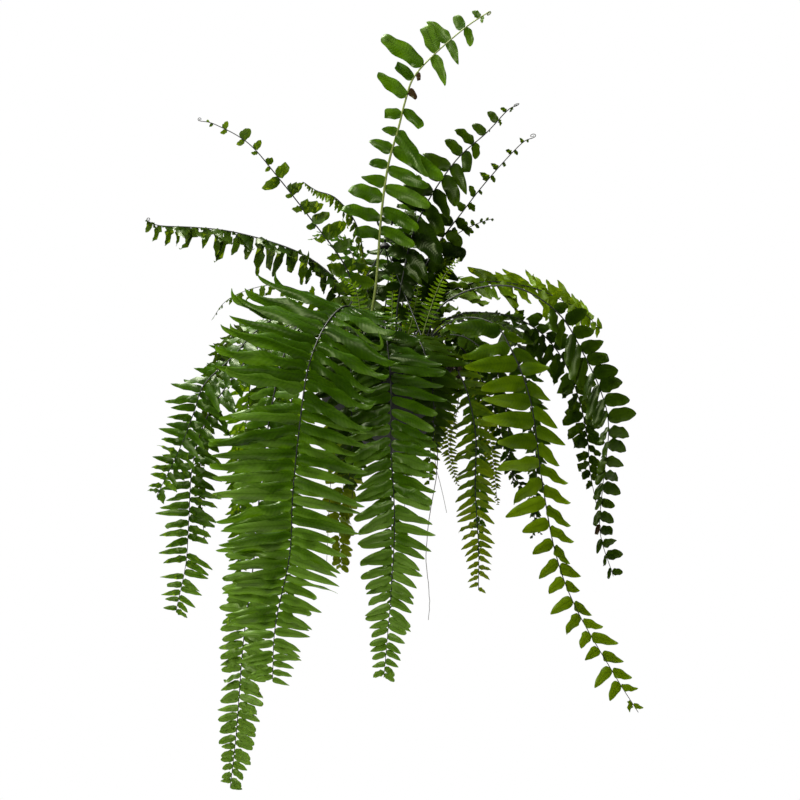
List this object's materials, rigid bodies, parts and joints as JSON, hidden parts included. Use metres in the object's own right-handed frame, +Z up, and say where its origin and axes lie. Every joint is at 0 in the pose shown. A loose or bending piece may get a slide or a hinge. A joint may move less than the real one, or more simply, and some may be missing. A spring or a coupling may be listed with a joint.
{
  "type": "hanging potted fern",
  "caption": "Sword fern with arching fronds in a turned bowl pot that hangs from a three-wire hanger with a hook.",
  "frame": {"origin": "inside top of the hanger's hook, where it bears on what carries it", "axes": "+Z up along the hanger; -Y is the front that the plant is seen from; +X to the right in that view"},
  "size_m": [0.726, 0.5818, 1.0929],
  "materials": {
    "pot_plastic": "matte",
    "potting_soil": "matte",
    "root_fibre": "matte",
    "hanger_wire": "satin",
    "runner_skin": "satin",
    "leaf_fresh": "satin",
    "leaf_dark": "satin",
    "leaf_light": "satin",
    "leaf_young": "satin",
    "leaf_olive": "satin"
  },
  "bodies": {
    "root": {"pot": "pot_plastic", "soil": "potting_soil", "root_crown": "root_fibre", "root_mat": "root_fibre", "hanger_hook": "hanger_wire", "hanger_collar": "hanger_wire", "hanger_wire_1": "hanger_wire", "hanger_wire_2": "hanger_wire", "hanger_wire_3": "hanger_wire", "frond_front_left_broad": "leaf_fresh", "frond_front_left_long": "leaf_fresh", "frond_front_middle": "leaf_fresh", "frond_front_right_long": "leaf_light", "frond_right_middle": "leaf_olive", "frond_front_fill_left": "leaf_dark", "frond_front_fill_right": "leaf_dark", "frond_left_outer": "leaf_fresh", "frond_left_hanging": "leaf_fresh", "frond_left_inner": "leaf_dark", "frond_left_small": "leaf_light", "frond_left_level": "leaf_dark", "frond_left_rising": "leaf_light", "frond_left_feathery": "leaf_light", "frond_right_broad": "leaf_dark", "frond_right_light_arch": "leaf_light", "frond_right_back_dark": "leaf_dark", "frond_right_low": "leaf_dark", "frond_right_inner": "leaf_dark", "frond_right_fine_near": "leaf_olive", "frond_right_fine_far": "leaf_olive", "frond_upright_tall": "leaf_fresh", "frond_upright_right_near": "leaf_dark", "frond_upright_right_far": "leaf_dark", "frond_upright_right_short": "leaf_dark", "frond_upright_middle": "leaf_fresh", "frond_upright_back_left": "leaf_fresh", "frond_upright_back": "leaf_dark", "frond_young_left": "leaf_young", "frond_young_front": "leaf_young", "frond_young_middle": "leaf_young", "frond_young_right": "leaf_young", "frond_young_back": "leaf_young", "frond_back_hanging_olive": "leaf_olive", "frond_back_far_right": "leaf_dark", "frond_back_right": "leaf_fresh", "frond_back_middle_right": "leaf_light", "frond_back_middle": "leaf_fresh", "frond_back_middle_left": "leaf_dark", "frond_back_left": "leaf_fresh", "frond_back_far_left": "leaf_fresh", "frond_back_left_side": "leaf_dark", "runner_right_long": "runner_skin", "runner_right_near": "runner_skin", "runner_right_short": "runner_skin", "runner_left_long": "runner_skin", "runner_left_near": "runner_skin", "runner_back": "runner_skin"}
  },
  "joints": []
}
